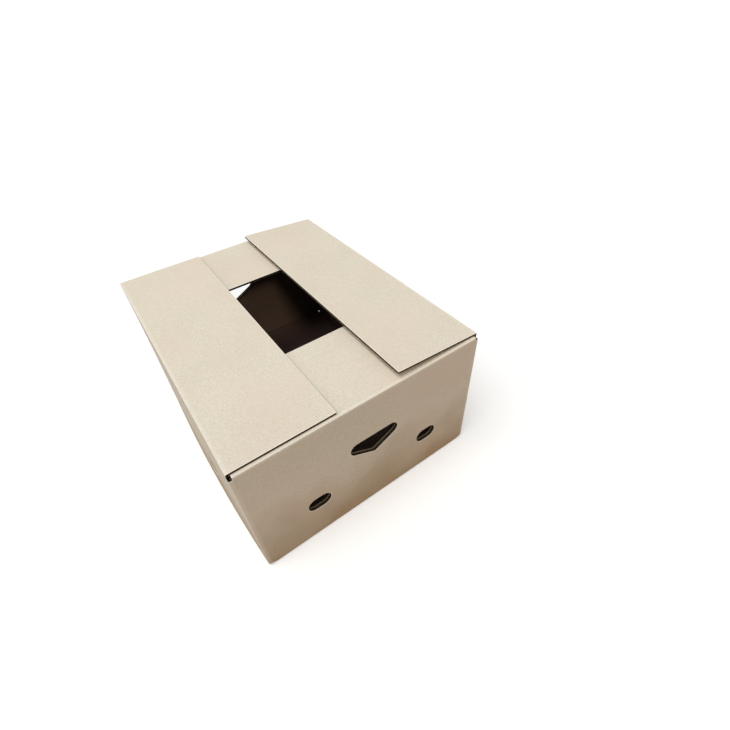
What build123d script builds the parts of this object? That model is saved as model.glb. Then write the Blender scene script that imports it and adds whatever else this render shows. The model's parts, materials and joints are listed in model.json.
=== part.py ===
from build123d import *
from math import cos, radians, sin
import os

# Telescoping corrugated carton: a tray, a lid that slides down over it, and the lid's two
# long flaps. X runs across the ends, Y along the length and Z up. The origin is on the
# floor under the middle of the carton.

# Board: single wall, with its flutes upright in every wall
board = 4.2
liner = 0.45
medium = 0.5
flute_pitch = 7.9
flute_reach = 9.0
edge_slot_depth = 4.0
crease_radius = 0.6

# Overall sizes of the closed carton, over the lid
lid_length = 510.0
lid_width = 400.0
closed_height = 250.0

# Fits between the pieces
side_clearance = 2.5
seat_gap = 0.3
skirt_gap = 1.5

# Flaps: each pair stops short of the middle and leaves an opening
opening_length = 215.0
opening_width = 100.0
side_flap_inset = 4.6
end_flap_inset = 5.5
corner_notch = 0.6
right_flap_lift = 3.6

# Lid skirt: its long sides bow outwards at the free edge, and its corners are nipped off
skirt_bow = 9.0
nip_run = 13.0
nip_rise = 4.5

# Glued seam down one corner of each sheet
tab_width = 35.0
tab_thickness = 2.0
tab_relief = 6.0
seam_gap = 1.0

# Cut-outs, the same through both sheets; those of an end stand a little to its right
cutout_shift = 3.3
hand_width = 84.0
hand_height = 41.0
hand_drop = 83.5
hand_end_radius = 12.2
hand_point_radius = 4.0
vent_length = 39.0
vent_width = 27.0
vent_height = 84.0
end_vent_spacing = 205.5
side_vent_spacing = 190.0

# Sizes that follow from those above
fold_radius = board
corner_radius = board + crease_radius
tray_length = lid_length - 2 * (board + side_clearance)
tray_width = lid_width - 2 * (board + side_clearance)
lid_wall_top = closed_height - board - seat_gap
tray_rim = lid_wall_top - board - seat_gap
side_flap_reach = (lid_width - opening_width) / 2
side_flap_length = lid_length - 2 * side_flap_inset
hand_top = closed_height - hand_drop


def level_outline(length, width, corner, bow=0.0):
    """A level outline with rounded corners, its two long sides bowed outwards."""
    with BuildSketch() as outline:
        with BuildLine():
            for side in (-1, 1):
                foot = (side * width / 2, -side * length / 2)
                head = (side * width / 2, side * length / 2)
                if bow:
                    ThreePointArc(foot, (side * (width / 2 + bow), 0), head)
                else:
                    Line(foot, head)
                Line(head, (-side * width / 2, side * length / 2))
        make_face()
        fillet(outline.vertices(), corner)
    return outline.sketch_local


def hand_hole():
    """The grip's outline on an end wall: flat on top, round at its ends, pointed below."""
    end_offset = hand_width / 2 - hand_end_radius
    end_height = hand_top - hand_end_radius
    point_height = hand_top - hand_height + hand_point_radius
    with BuildSketch() as outline:
        with Locations((cutout_shift - end_offset, end_height), (cutout_shift + end_offset, end_height)):
            Circle(hand_end_radius)
        with Locations((cutout_shift, point_height)):
            Circle(hand_point_radius)
        make_hull()
    return outline.sketch_local


def vent_pair(spacing, shift=0.0):
    """Two oval vents side by side on a wall."""
    with BuildSketch() as outline:
        with Locations((shift, vent_height)):
            with GridLocations(spacing, 0, 2, 1):
                SlotOverall(vent_length, vent_width)
    return outline.sketch_local


def raw_end_gap(length, width):
    """The hollow at the seam corner: outside the tab's fold and past the wall's raw end."""
    edge = width / 2
    crease = length / 2 - board
    clear = edge + corner_radius
    on_fold = (edge - fold_radius * (1 - cos(radians(45))), crease - fold_radius * (1 - sin(radians(45))))
    with BuildSketch() as outline:
        with BuildLine():
            ThreePointArc((edge, crease - fold_radius), on_fold, (edge - fold_radius, crease))
            Polyline((edge - fold_radius, crease), (edge - seam_gap, crease),
                     (edge - seam_gap, length / 2 + seam_gap), (clear, length / 2 + seam_gap),
                     (clear, crease - fold_radius), (edge, crease - fold_radius))
        make_face()
    return outline.sketch_local


def raw_end(length, width):
    """The seam corner's wall end, cut square and left raw."""
    with BuildSketch() as outline:
        with Locations((width / 2 - seam_gap, length / 2)):
            Rectangle(corner_radius, board, align=(Align.MAX, Align.MAX))
    return outline.sketch_local


def seam_tab(width, low, high):
    """The glue tab's outline on the inside of the end wall, its free end cut back."""
    root = width / 2 - board
    with BuildSketch() as outline:
        with BuildLine():
            Polyline((root, low + tab_relief / 2), (root - tab_width, low + tab_relief),
                     (root - tab_width, high - tab_relief), (root, high - tab_relief / 2), close=True)
        make_face()
    return outline.sketch_local


def corner_slots(length, width):
    """Outlines of the four slots that part neighbouring flaps."""
    with BuildSketch() as outline:
        with GridLocations(width, length, 2, 2):
            Rectangle(2 * end_flap_inset, 2 * side_flap_inset)
    return outline.sketch_local


def nips(span):
    """Outlines of the two corners nipped off the free edge of a wall of that span."""
    with BuildSketch() as outline:
        for side in (-1, 1):
            with BuildLine():
                Polyline((side * (span / 2 - nip_run), skirt_gap),
                         (side * (span / 2 + nip_run), skirt_gap - nip_rise),
                         (side * (span / 2 + nip_run), skirt_gap + 2 * nip_rise), close=True)
            make_face()
    return outline.sketch_local


def flap_section():
    """Section of a side flap: the rounded half of its crease at the root, then flat board."""
    on_fold = (fold_radius * (1 - cos(radians(45))), fold_radius * (sin(radians(45)) - 1))
    with BuildSketch() as outline:
        with BuildLine():
            ThreePointArc((0, -board), on_fold, (fold_radius, 0))
            Polyline((fold_radius, 0), (side_flap_reach, 0), (side_flap_reach, -board), (0, -board))
        make_face()
    return outline.sketch_local


def flute_mouths():
    """The open ends of the flutes along a side flap's free edge, against both liners in turn."""
    void_height = board - 2 * liner - medium
    wide = flute_pitch / 2 - 2 * medium
    narrow = flute_pitch / 2 - wide - medium
    count = int(side_flap_length / flute_pitch) - 1
    with BuildSketch() as outline:
        for side, turns in ((-1, count), (1, count - 1)):
            foot = side * (board / 2 - liner)
            with GridLocations(flute_pitch, 0, turns, 1):
                with Locations((0, -board / 2)):
                    Polygon((-wide, foot), (wide, foot), (narrow, foot - side * void_height),
                            (-narrow, foot - side * void_height), align=None)
    return outline.sketch_local


def edge_slot():
    """The hollow that shows between the liners where a cut runs along a flute."""
    with BuildSketch() as outline:
        with Locations(((2 * fold_radius + side_flap_reach - flute_reach) / 2 - liner, -board / 2)):
            Rectangle(side_flap_reach - flute_reach - 2 * fold_radius, board - 2 * liner)
    return outline.sketch_local


# Cutters: a grip in each end, each seen alike from outside, and vents in the near end and
# in both sides
near_end = Plane.XZ
far_end = Plane.XZ.rotated((0, 0, 180))
with BuildPart() as cut_outs:
    with BuildSketch(near_end, far_end):
        add(hand_hole())
    extrude(amount=lid_length)
    with BuildSketch(near_end):
        add(vent_pair(end_vent_spacing, cutout_shift))
    extrude(amount=lid_length)
    with BuildSketch(Plane.YZ):
        add(vent_pair(side_vent_spacing))
    extrude(amount=lid_width, both=True)

# Tray: the end flaps are folded in first, and the side flaps are glued on under them
with BuildPart() as base_tray:
    with BuildSketch():
        add(level_outline(tray_length, tray_width, corner_radius))
        add(level_outline(tray_length - 2 * board, tray_width - 2 * board, crease_radius), mode=Mode.SUBTRACT)
    extrude(amount=tray_rim)
    extrude(raw_end_gap(tray_length, tray_width), amount=tray_rim, mode=Mode.SUBTRACT)
    extrude(raw_end(tray_length, tray_width), amount=tray_rim)
    with BuildSketch(Plane.XZ.offset(board - tray_length / 2)):
        add(seam_tab(tray_width, 2 * board, tray_rim))
    extrude(amount=tab_thickness)
    with BuildSketch():
        with GridLocations(0, tray_length, 1, 2):
            Rectangle(tray_width + board, 2 * side_flap_inset)
    extrude(amount=board, mode=Mode.SUBTRACT)
    with BuildSketch():
        Rectangle(tray_width, tray_length - 2 * side_flap_inset)
        Rectangle(opening_width, tray_length, mode=Mode.SUBTRACT)
    extrude(amount=board)
    with BuildSketch(Plane.XY.offset(board)):
        Rectangle(tray_width - 2 * end_flap_inset, tray_length)
        Rectangle(tray_width, opening_length, mode=Mode.SUBTRACT)
    extrude(amount=board)
    extrude(corner_slots(tray_length, tray_width), amount=2 * board + corner_notch, mode=Mode.SUBTRACT)
    side_creases = base_tray.edges().filter_by(Axis.Y).group_by(Axis.Z)[0].sort_by(Axis.X)
    fillet([side_creases[0], side_creases[-1]], fold_radius)
    end_creases = base_tray.edges().filter_by(Axis.X).filter_by_position(Axis.Z, board, board).sort_by(Axis.Y)
    fillet([end_creases[0], end_creases[-1]], fold_radius)
    add(cut_outs.part, mode=Mode.SUBTRACT)

# Lid: the same folds the other way up, with its side flaps left free to open
with BuildPart() as lid:
    with BuildSketch(Plane.XY.offset(skirt_gap)):
        add(level_outline(lid_length, lid_width, corner_radius, skirt_bow))
    with BuildSketch(Plane.XY.offset(lid_wall_top)):
        add(level_outline(lid_length, lid_width, corner_radius))
    loft(ruled=True)
    with BuildSketch(Plane.XY.offset(skirt_gap)):
        add(level_outline(lid_length - 2 * board, lid_width - 2 * board, crease_radius, skirt_bow))
    with BuildSketch(Plane.XY.offset(lid_wall_top)):
        add(level_outline(lid_length - 2 * board, lid_width - 2 * board, crease_radius))
    loft(ruled=True, mode=Mode.SUBTRACT)
    with BuildSketch(Plane.XY.offset(skirt_gap)):
        add(raw_end_gap(lid_length, lid_width))
    extrude(amount=closed_height, mode=Mode.SUBTRACT)
    with BuildSketch(Plane.XY.offset(skirt_gap)):
        add(raw_end(lid_length, lid_width))
    extrude(amount=lid_wall_top - skirt_gap)
    with BuildSketch(Plane.XZ.offset(board - lid_length / 2)):
        add(seam_tab(lid_width, skirt_gap, lid_wall_top - board))
    extrude(amount=tab_thickness)
    with BuildSketch(Plane.XY.offset(lid_wall_top - board)):
        Rectangle(lid_width - 2 * end_flap_inset, lid_length)
        Rectangle(lid_width, opening_length, mode=Mode.SUBTRACT)
    extrude(amount=board)
    with BuildSketch(Plane.XY.offset(lid_wall_top - board - corner_notch)):
        add(corner_slots(lid_length, lid_width))
    extrude(amount=2 * board, mode=Mode.SUBTRACT)
    top_edges = lid.edges().filter_by(Axis.X).filter_by_position(Axis.Z, lid_wall_top, lid_wall_top)
    end_creases = top_edges.sort_by(Axis.Y)
    fillet([end_creases[0], end_creases[-1]], fold_radius)
    with BuildSketch(Plane.XZ.offset(lid_length / 2), Plane.XZ.offset(-lid_length / 2)):
        add(nips(lid_width))
    extrude(amount=corner_radius, both=True, mode=Mode.SUBTRACT)
    with BuildSketch(Plane.YZ.offset(lid_width / 2), Plane.YZ.offset(-lid_width / 2)):
        add(nips(lid_length))
    extrude(amount=corner_radius, both=True, mode=Mode.SUBTRACT)
    add(cut_outs.part, mode=Mode.SUBTRACT)

os.makedirs("parts", exist_ok=True)
base_tray.part.label = "base_tray"
export_step(base_tray.part, "parts/base_tray.step")
lid.part.label = "lid"
export_step(lid.part, "parts/lid.step")

# Side flaps: each turns about the outer corner over its side wall. The left one lies shut,
# and the crease of the right one holds it a little open.
lift = radians(right_flap_lift)
left_root = Plane(origin=(-lid_width / 2, 0, closed_height), x_dir=(1, 0, 0), z_dir=(0, -1, 0))
right_root = Plane(origin=(lid_width / 2, 0, closed_height), x_dir=(-cos(lift), 0, sin(lift)), z_dir=(0, 1, 0))
for label, root in (("lid_flap_left", left_root), ("lid_flap_right", right_root)):
    free_edge = Plane(root.from_local_coords((side_flap_reach, 0, 0)), x_dir=-root.z_dir, z_dir=root.x_dir)
    with BuildPart() as side_flap:
        with BuildSketch(root):
            add(flap_section())
        extrude(amount=side_flap_length / 2, both=True)
        with BuildSketch(root.offset(side_flap_length / 2), root.offset(-side_flap_length / 2)):
            add(edge_slot())
        extrude(amount=edge_slot_depth, both=True, mode=Mode.SUBTRACT)
        with BuildSketch(free_edge):
            add(flute_mouths())
        extrude(amount=-flute_reach, mode=Mode.SUBTRACT)
    side_flap.part.label = label
    export_step(side_flap.part, f"parts/{label}.step")
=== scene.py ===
"""Looks of a telescoping corrugated carton: a tray, a lid over it and the lid's two long flaps.

Each sheet is laid out flat as a blank, folded round its creases and given open flutes
along its cut edges. Lengths are in metres: X runs across the ends, Y along the length and
Z up. On a flat blank, u runs round the walls, v up them and w into the board.
"""

import json
import logging
import math
from collections.abc import Callable, Iterable, Iterator, Sequence
from dataclasses import dataclass, field
from enum import Enum

import bmesh
import bpy
from mathutils import Matrix, Vector
from mathutils.geometry import convex_hull_2d


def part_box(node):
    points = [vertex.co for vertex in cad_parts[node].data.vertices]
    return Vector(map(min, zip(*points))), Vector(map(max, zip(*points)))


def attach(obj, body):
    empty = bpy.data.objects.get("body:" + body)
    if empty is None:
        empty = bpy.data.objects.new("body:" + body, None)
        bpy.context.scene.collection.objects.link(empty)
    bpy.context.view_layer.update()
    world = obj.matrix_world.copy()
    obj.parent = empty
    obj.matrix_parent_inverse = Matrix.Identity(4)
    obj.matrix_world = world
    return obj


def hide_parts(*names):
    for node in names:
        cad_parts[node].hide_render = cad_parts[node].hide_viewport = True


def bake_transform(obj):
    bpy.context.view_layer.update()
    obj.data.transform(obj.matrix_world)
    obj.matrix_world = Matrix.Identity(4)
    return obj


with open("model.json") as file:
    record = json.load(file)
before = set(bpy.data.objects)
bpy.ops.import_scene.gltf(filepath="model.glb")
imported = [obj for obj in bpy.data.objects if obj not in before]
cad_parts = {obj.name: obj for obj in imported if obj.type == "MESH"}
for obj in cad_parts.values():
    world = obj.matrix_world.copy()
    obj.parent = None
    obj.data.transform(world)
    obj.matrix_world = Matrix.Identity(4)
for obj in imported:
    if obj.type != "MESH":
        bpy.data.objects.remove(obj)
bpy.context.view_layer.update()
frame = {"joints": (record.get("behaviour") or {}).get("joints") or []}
log = logging.getLogger("carton")

MM = 0.001
QUARTER_TURN = math.pi / 2
TOUCHING = 1e-6

# How finely a sheet is divided round its blank, along its walls and flaps, and round a fold
COLUMN_STEP = 30 * MM
ROW_STEP = 28 * MM
ROW_MARGIN = 8 * MM
FOLD_STEPS = 8
FOLD_MARGIN = 1.5 * MM

# The rays that show a thing to the camera, straight, in gloss or through glass
SEEN_RAYS = ("Is Camera Ray", "Is Glossy Ray", "Is Transmission Ray")

Socket = bpy.types.NodeSocket
Colour = tuple[float, float, float]
Paint = Colour | Socket
Point = tuple[float, float]
Triple = tuple[float, float, float]
Place = Callable[[float, float, float], Vector]
ShadingMask = Callable[[float, float], float]


def turned(angle: float, sharpness: float = 6.0) -> Point:
    """How far a folded corner has gone each way at an angle, for a radius of one.

    Args:
        angle: the angle turned, from 0 to a quarter turn.
        sharpness: 2 is a circle; more makes the corner crisper.

    Returns:
        What is left of the first way and what has been gained of the second.
    """
    power = 2 / sharpness
    return max(math.cos(angle), 0.0) ** power, max(math.sin(angle), 0.0) ** power


def facing(loop: Iterable[Point], turn: int) -> list[Vector]:
    """A loop's points in one order of travel.

    Args:
        loop: the points, in either order.
        turn: 1 for counter-clockwise and -1 for clockwise.

    Returns:
        The points as vectors, in the order asked for.
    """
    points = [Vector(point) for point in loop]
    area = sum(one.cross(two) for one, two in zip(points, points[1:] + points[:1]))
    return points if area * turn > 0 else points[::-1]


def evenly(start: float, end: float, step: float) -> list[float]:
    """Places between two ends, evenly spaced.

    Args:
        start: the first end.
        end: the last end.
        step: the widest spacing allowed.

    Returns:
        The places, without the two ends.
    """
    count = max(1, math.ceil(abs(end - start) / step))
    return [start + (end - start) * part / count for part in range(1, count)]


class Wall(Enum):
    """The straight walls in their order round a blank, by their span in the wall line."""

    FAR = 0
    LEFT = 2
    NEAR = 4
    RIGHT = 6


class End(Enum):
    """The end of the walls at which a flap folds over."""

    BOTTOM = -1
    TOP = 1


class Side(Enum):
    """The long side over which a flap is hinged, by the direction of X."""

    LEFT = -1
    RIGHT = 1


class Face(Enum):
    """The finishes of one sheet, in the order of its material slots."""

    OUTSIDE = 0
    INSIDE = 1
    CUT = 2
    FLUTE = 3


class Stock(Enum):
    """The sheets of board, by their look."""

    TRAY = "tray"
    LID = "lid"
    FLAP = "flap"


class Value:
    """A number that varies over a surface, for use in plain sums."""

    def __init__(self, graph: "Graph", socket: Socket) -> None:
        """Wraps a socket of a graph."""
        self.graph = graph
        self.socket = socket

    def _sum(self, operation: str, *inputs: "Value | float", clamp: bool = False) -> "Value":
        """One step of arithmetic.

        Args:
            operation: the Math node's operation.
            inputs: what it works on, in order.
            clamp: whether the result is kept between 0 and 1.

        Returns:
            The result.
        """
        settings = {"operation": operation, "use_clamp": clamp}
        node = self.graph.node("ShaderNodeMath", settings, dict(enumerate(inputs)))
        return Value(self.graph, node.outputs[0])

    def __add__(self, other: "Value | float") -> "Value":
        """The sum."""
        return self._sum("ADD", self, other)

    def __radd__(self, other: float) -> "Value":
        """The sum, from the right."""
        return self._sum("ADD", other, self)

    def __sub__(self, other: "Value | float") -> "Value":
        """The difference."""
        return self._sum("SUBTRACT", self, other)

    def __rsub__(self, other: float) -> "Value":
        """The difference, from the right."""
        return self._sum("SUBTRACT", other, self)

    def __mul__(self, other: "Value | float") -> "Value":
        """The product."""
        return self._sum("MULTIPLY", self, other)

    def __rmul__(self, other: float) -> "Value":
        """The product, from the right."""
        return self._sum("MULTIPLY", other, self)

    def sine(self) -> "Value":
        """The sine of an angle in radians."""
        return self._sum("SINE", self)

    def above(self, low: float, high: float) -> "Value":
        """0 up to a low value, 1 from a high one and straight in between."""
        return self._sum("MULTIPLY_ADD", self, 1 / (high - low), -low / (high - low), clamp=True)


class Graph:
    """The nodes of one material, or of the world."""

    def __init__(self, owner: bpy.types.Material | bpy.types.World) -> None:
        """Empties the owner's node tree, ready for its own nodes.

        Args:
            owner: the material or the world that the nodes belong to.
        """
        owner.use_nodes = True
        self.owner = owner
        self.tree = owner.node_tree
        self.tree.nodes.clear()

    def node(self, kind: str, settings: dict | None = None, inputs: dict | None = None) -> bpy.types.Node:
        """Adds a node.

        Args:
            kind: the node's type.
            settings: its own properties, set before its sockets.
            inputs: values or links, by the socket's name or number.

        Returns:
            The new node.
        """
        made = self.tree.nodes.new(kind)
        for key, value in (settings or {}).items():
            setattr(made, key, value)
        for key, value in (inputs or {}).items():
            if isinstance(value, Value):
                value = value.socket
            if isinstance(value, Socket):
                self.tree.links.new(value, made.inputs[key])
            else:
                made.inputs[key].default_value = value
        return made

    def attribute(self, name: str) -> Socket:
        """A vector that the mesh carries at its points."""
        return self.node("ShaderNodeAttribute", {"attribute_name": name}).outputs["Vector"]

    def parts(self, vector: Socket) -> tuple[Value, Value, Value]:
        """The three numbers of a vector."""
        split = self.node("ShaderNodeSeparateXYZ", {}, {0: vector})
        return tuple(Value(self, output) for output in split.outputs)

    def stretched(self, vector: Socket, by: Sequence[float]) -> Socket:
        """A vector with each part scaled."""
        made = self.node("ShaderNodeVectorMath", {"operation": "MULTIPLY"}, {0: vector, 1: tuple(by)})
        return made.outputs[0]

    def noise(self, vector: Socket, scale: float, detail: float = 2.0, rough: float = 0.5) -> Value:
        """Soft noise.

        Args:
            vector: where it is read.
            scale: how many blots there are to a metre.
            detail: how many finer layers are added.
            rough: how strong the finer layers are.

        Returns:
            The noise, about 0 to 1.
        """
        inputs = {"Vector": vector, "Scale": scale, "Detail": detail, "Roughness": rough}
        return Value(self, self.node("ShaderNodeTexNoise", {}, inputs).outputs[0])

    def mix(self, share: Value | float, first: Paint, second: Paint) -> Socket:
        """One colour changing into another.

        Args:
            share: how much of the second there is, 0 to 1.
            first: the colour at 0.
            second: the colour at 1.

        Returns:
            The mixed colour.
        """
        ends = [(*paint, 1.0) if isinstance(paint, tuple) else paint for paint in (first, second)]
        settings = {"data_type": "RGBA", "clamp_factor": True}
        return self.node("ShaderNodeMix", settings, {0: share, 6: ends[0], 7: ends[1]}).outputs[2]

    def bump(self, height: Value, distance: float, strength: float) -> Socket:
        """A surface normal tilted by a height."""
        inputs = {"Height": height, "Distance": distance, "Strength": strength}
        return self.node("ShaderNodeBump", {}, inputs).outputs[0]

    def seen(self) -> Value:
        """1 where a ray shows a thing to the camera, also in gloss or through glass, and else 0."""
        rays = self.node("ShaderNodeLightPath").outputs
        return sum(Value(self, rays[name]) for name in SEEN_RAYS)

    def matt(self, colour: Paint, roughness: Value, normal: Socket, specular: float) -> bpy.types.Material:
        """Ends the graph in a plain matt shader.

        Args:
            colour: the paper's colour.
            roughness: how dull it is.
            normal: the tilted normal.
            specular: how strong its gloss is.

        Returns:
            The finished material.
        """
        inputs = {
            "Base Color": colour,
            "Roughness": roughness,
            "Specular IOR Level": specular,
            "Normal": normal,
        }
        shader = self.node("ShaderNodeBsdfPrincipled", {}, inputs)
        self.node("ShaderNodeOutputMaterial", {}, {"Surface": shader.outputs[0]})
        return self.owner


def srgb(red: int, green: int, blue: int) -> Colour:
    """Turns a colour as the eye reads it into linear light.

    Args:
        red: its red part, 0 to 255.
        green: its green part, 0 to 255.
        blue: its blue part, 0 to 255.

    Returns:
        The colour in linear light, 0 to 1.
    """
    shares = [part / 255 for part in (red, green, blue)]
    return tuple(((share + 0.055) / 1.055) ** 2.4 if share > 0.04045 else share / 12.92 for share in shares)


@dataclass(frozen=True)
class LinerFinish:
    """The paper of a liner: mottled, with fibres and faint flutes, with painted light and shade along its
    folds and cut edges and painted shading towards the bottom of its walls.
    """

    name: str
    pitch: float
    pale: Colour
    deep: Colour
    fleck: Colour
    # crease: the colour of the painted fold and cut-edge shading, a highlight on pale liners and shade on the
    # tray's; the fibre threads take it too
    crease: Colour
    blush: Colour
    # painted shade towards the bottom of the walls; on the tray's inside a painted lighter tone
    bottom_shading: Colour
    # strength of the painted fold shading
    fold_shading_strength: float = 0.25
    flute_mark: float = 0.004
    gloss: float = 0.25

    def material(self) -> bpy.types.Material:
        """Builds the paper.

        Returns:
            The finished material.
        """
        graph = Graph(bpy.data.materials.new(self.name))
        flat = graph.attribute("flat")
        # The wear attribute holds the masks of painted light and shade: nearness to a cut edge, nearness to a
        # fold, and depth.
        cut, crease, _ = graph.parts(graph.attribute("wear"))
        across, up, _ = graph.parts(flat)
        cloud = graph.noise(flat, scale=11, detail=3)
        blot = graph.noise(flat, scale=95, detail=3, rough=0.6)
        grain = graph.noise(flat, scale=320, detail=4, rough=0.75)
        tint = graph.noise(flat, scale=7, detail=4, rough=0.6)
        fibre = graph.noise(graph.stretched(flat, (1400, 600, 400)), scale=1, detail=2, rough=0.6)
        thread = graph.noise(graph.stretched(flat, (520, 1300, 400)), scale=1, detail=1)
        speck = graph.noise(flat, scale=1100, detail=1)
        flute = (across * (2 * math.pi / self.pitch)).sine()
        tone = 0.15 * cloud + 0.15 * blot + 0.7 * grain + self.flute_mark * flute
        paper = graph.mix(tone.above(0.36, 0.64), self.deep, self.pale)
        paper = graph.mix(tint.above(0.44, 0.62) * 0.35, paper, self.blush)
        # Painted shade towards the bottom of the walls, uneven with the cloud noise.
        paper = graph.mix((cloud - 6.5 * up).above(-0.37, 0.5) * 0.75, paper, self.bottom_shading)
        paper = graph.mix(fibre.above(0.62, 0.78) * 0.35, paper, self.fleck)
        paper = graph.mix(thread.above(0.64, 0.8) * 0.25, paper, self.crease)
        paper = graph.mix(speck.above(0.72, 0.8) * 0.5, paper, self.fleck)
        # Painted highlight along folds and cut edges, painted shade there on the tray's liners.
        paper = graph.mix(crease * self.fold_shading_strength + cut * 0.9, paper, self.crease)
        height = 0.5 * grain + 0.25 * fibre + 0.25 * thread + 0.02 * flute
        return graph.matt(paper, 0.72 + 0.16 * blot, graph.bump(height, 0.05 * MM, 0.6), self.gloss)


@dataclass(frozen=True)
class RawFinish:
    """Paper that a knife has cut, or the bare medium: coarse, fibrous and unprinted."""

    name: str
    pale: Colour
    deep: Colour
    gloss: float = 0.15

    def material(self) -> bpy.types.Material:
        """Builds the raw paper.

        Returns:
            The finished material.
        """
        graph = Graph(bpy.data.materials.new(self.name))
        flat = graph.attribute("flat")
        blot = graph.noise(flat, scale=160, detail=3, rough=0.6)
        fibre = graph.noise(graph.stretched(flat, (1900, 700, 1900)), scale=1, detail=2, rough=0.65)
        paper = graph.mix((0.5 * blot + 0.5 * fibre).above(0.3, 0.7), self.deep, self.pale)
        return graph.matt(paper, 0.8 + 0.15 * fibre, graph.bump(fibre, 0.08 * MM, 0.7), self.gloss)


@dataclass(frozen=True)
class Finishes:
    """The materials of one sheet, in the order of its faces, and the slot they stand for."""

    slot: str
    outside: bpy.types.Material
    inside: bpy.types.Material
    cut: bpy.types.Material
    flute: bpy.types.Material

    def dress(self, piece: bpy.types.Object) -> None:
        """Gives a piece its materials.

        Args:
            piece: the piece, still without materials.
        """
        for material in (self.outside, self.inside, self.cut, self.flute):
            piece.data.materials.append(material)


def board_finishes(pitch: float) -> dict[Stock, Finishes]:
    """Mixes the finishes of the lid's pale board and of the tray's browner board.

    Args:
        pitch: the flutes' spacing.

    Returns:
        The finishes of each kind of sheet.
    """
    # Cut edges and open flutes. The flutes are darkened as painted shade in their grooves, and the lid's and
    # the tray's copies are darker than the flap's, as painted shade round the holes; the flap's lighter copy
    # is for its lit top edges.
    flap_cut = RawFinish("flap_cut", pale=srgb(204, 186, 160), deep=srgb(164, 146, 120)).material()
    flap_flutes_shaded = RawFinish("flap_flutes_shaded", pale=srgb(112, 94, 76), deep=srgb(68, 56, 44)).material()
    lid_cut_shaded = RawFinish("lid_cut_shaded", pale=srgb(124, 110, 94), deep=srgb(90, 78, 65)).material()
    lid_flutes_shaded = RawFinish("lid_flutes_shaded", pale=srgb(72, 63, 54), deep=srgb(38, 32, 27)).material()
    tray_cut_shaded = RawFinish("tray_cut_shaded", pale=srgb(74, 66, 59), deep=srgb(44, 38, 34)).material()
    tray_flutes_shaded = RawFinish("tray_flutes_shaded", pale=srgb(48, 42, 37), deep=srgb(26, 22, 19)).material()
    # Along folds and cut edges the pale liner gets a painted highlight, and towards the bottom of its walls a
    # painted warm shade.
    pale_liner = LinerFinish(
        "pale_liner", pitch,
        pale=srgb(240, 232, 216), deep=srgb(217, 206, 187), fleck=srgb(187, 169, 143),
        crease=srgb(252, 246, 234), blush=srgb(236, 214, 196), bottom_shading=srgb(168, 134, 90),
    ).material()
    # The lid's inner liner gets a painted highlight along folds and cut edges and painted shade towards the
    # bottom of its walls.
    lid_inner_liner = LinerFinish(
        "lid_inner_liner", pitch,
        pale=srgb(168, 140, 108), deep=srgb(144, 117, 87), fleck=srgb(108, 84, 58),
        crease=srgb(190, 164, 132), blush=srgb(170, 134, 104), bottom_shading=srgb(138, 112, 84),
    ).material()
    # The tray's outer liner gets painted shade along its folds and cut edges and towards the bottom of its
    # walls.
    tray_liner = LinerFinish(
        "tray_liner", pitch,
        pale=srgb(186, 162, 130), deep=srgb(162, 137, 106), fleck=srgb(118, 94, 68),
        crease=srgb(96, 84, 72), blush=srgb(186, 150, 122), bottom_shading=srgb(150, 124, 94),
    ).material()
    # The tray's inside is darkened throughout as painted shade, with darker painted shade in its folds and
    # along its cut edges and a painted lighter tone towards the bottom.
    tray_inside_shaded = LinerFinish(
        "tray_inside_shaded", pitch,
        pale=srgb(114, 97, 82), deep=srgb(92, 77, 64), fleck=srgb(70, 56, 46),
        crease=srgb(30, 24, 21), blush=srgb(100, 78, 72), bottom_shading=srgb(115, 94, 88),
        fold_shading_strength=0.7,
    ).material()
    return {
        Stock.TRAY: Finishes("tray_board", tray_liner, tray_inside_shaded, tray_cut_shaded, tray_flutes_shaded),
        Stock.LID: Finishes("lid_board", pale_liner, lid_inner_liner, lid_cut_shaded, lid_flutes_shaded),
        Stock.FLAP: Finishes("lid_board", pale_liner, lid_inner_liner, flap_cut, flap_flutes_shaded),
    }


@dataclass(frozen=True)
class Board:
    """Single-wall corrugated board: two liners with a fluted medium between them."""

    thickness: float
    liner: float = 0.45 * MM
    medium: float = 0.3 * MM
    pitch: float = 7.9 * MM
    groove: float = 5.5 * MM
    lip: float = 0.4 * MM
    crush: float = 0.22 * MM
    edge_band: float = 1.5 * MM
    crease_radius: float = 0.6 * MM

    @property
    def corner_radius(self) -> float:
        """Outer radius of an upright corner."""
        return self.thickness + self.crease_radius

    def wave(self, across: float) -> float:
        """Depth of the medium's middle at a place across the flutes."""
        swing = (self.thickness - 2 * self.liner - self.medium) / 2
        return self.thickness / 2 + swing * math.sin(2 * math.pi * across / self.pitch)

    def rim(self) -> list[tuple[float, float, Face]]:
        """Section of a cut edge as steps back from the cut, depth and the face that follows."""
        deep = self.thickness
        return [
            (self.edge_band, 0.0, Face.OUTSIDE),
            (self.lip, 0.0, Face.OUTSIDE),
            (0.0, self.crush, Face.CUT),
            (0.0, self.liner, Face.FLUTE),
            (self.groove, self.liner, Face.FLUTE),
            (self.groove, deep - self.liner, Face.FLUTE),
            (0.0, deep - self.liner, Face.CUT),
            (0.0, deep - self.crush, Face.INSIDE),
            (self.lip, deep, Face.INSIDE),
            (self.edge_band, deep, Face.INSIDE),
        ]


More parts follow.
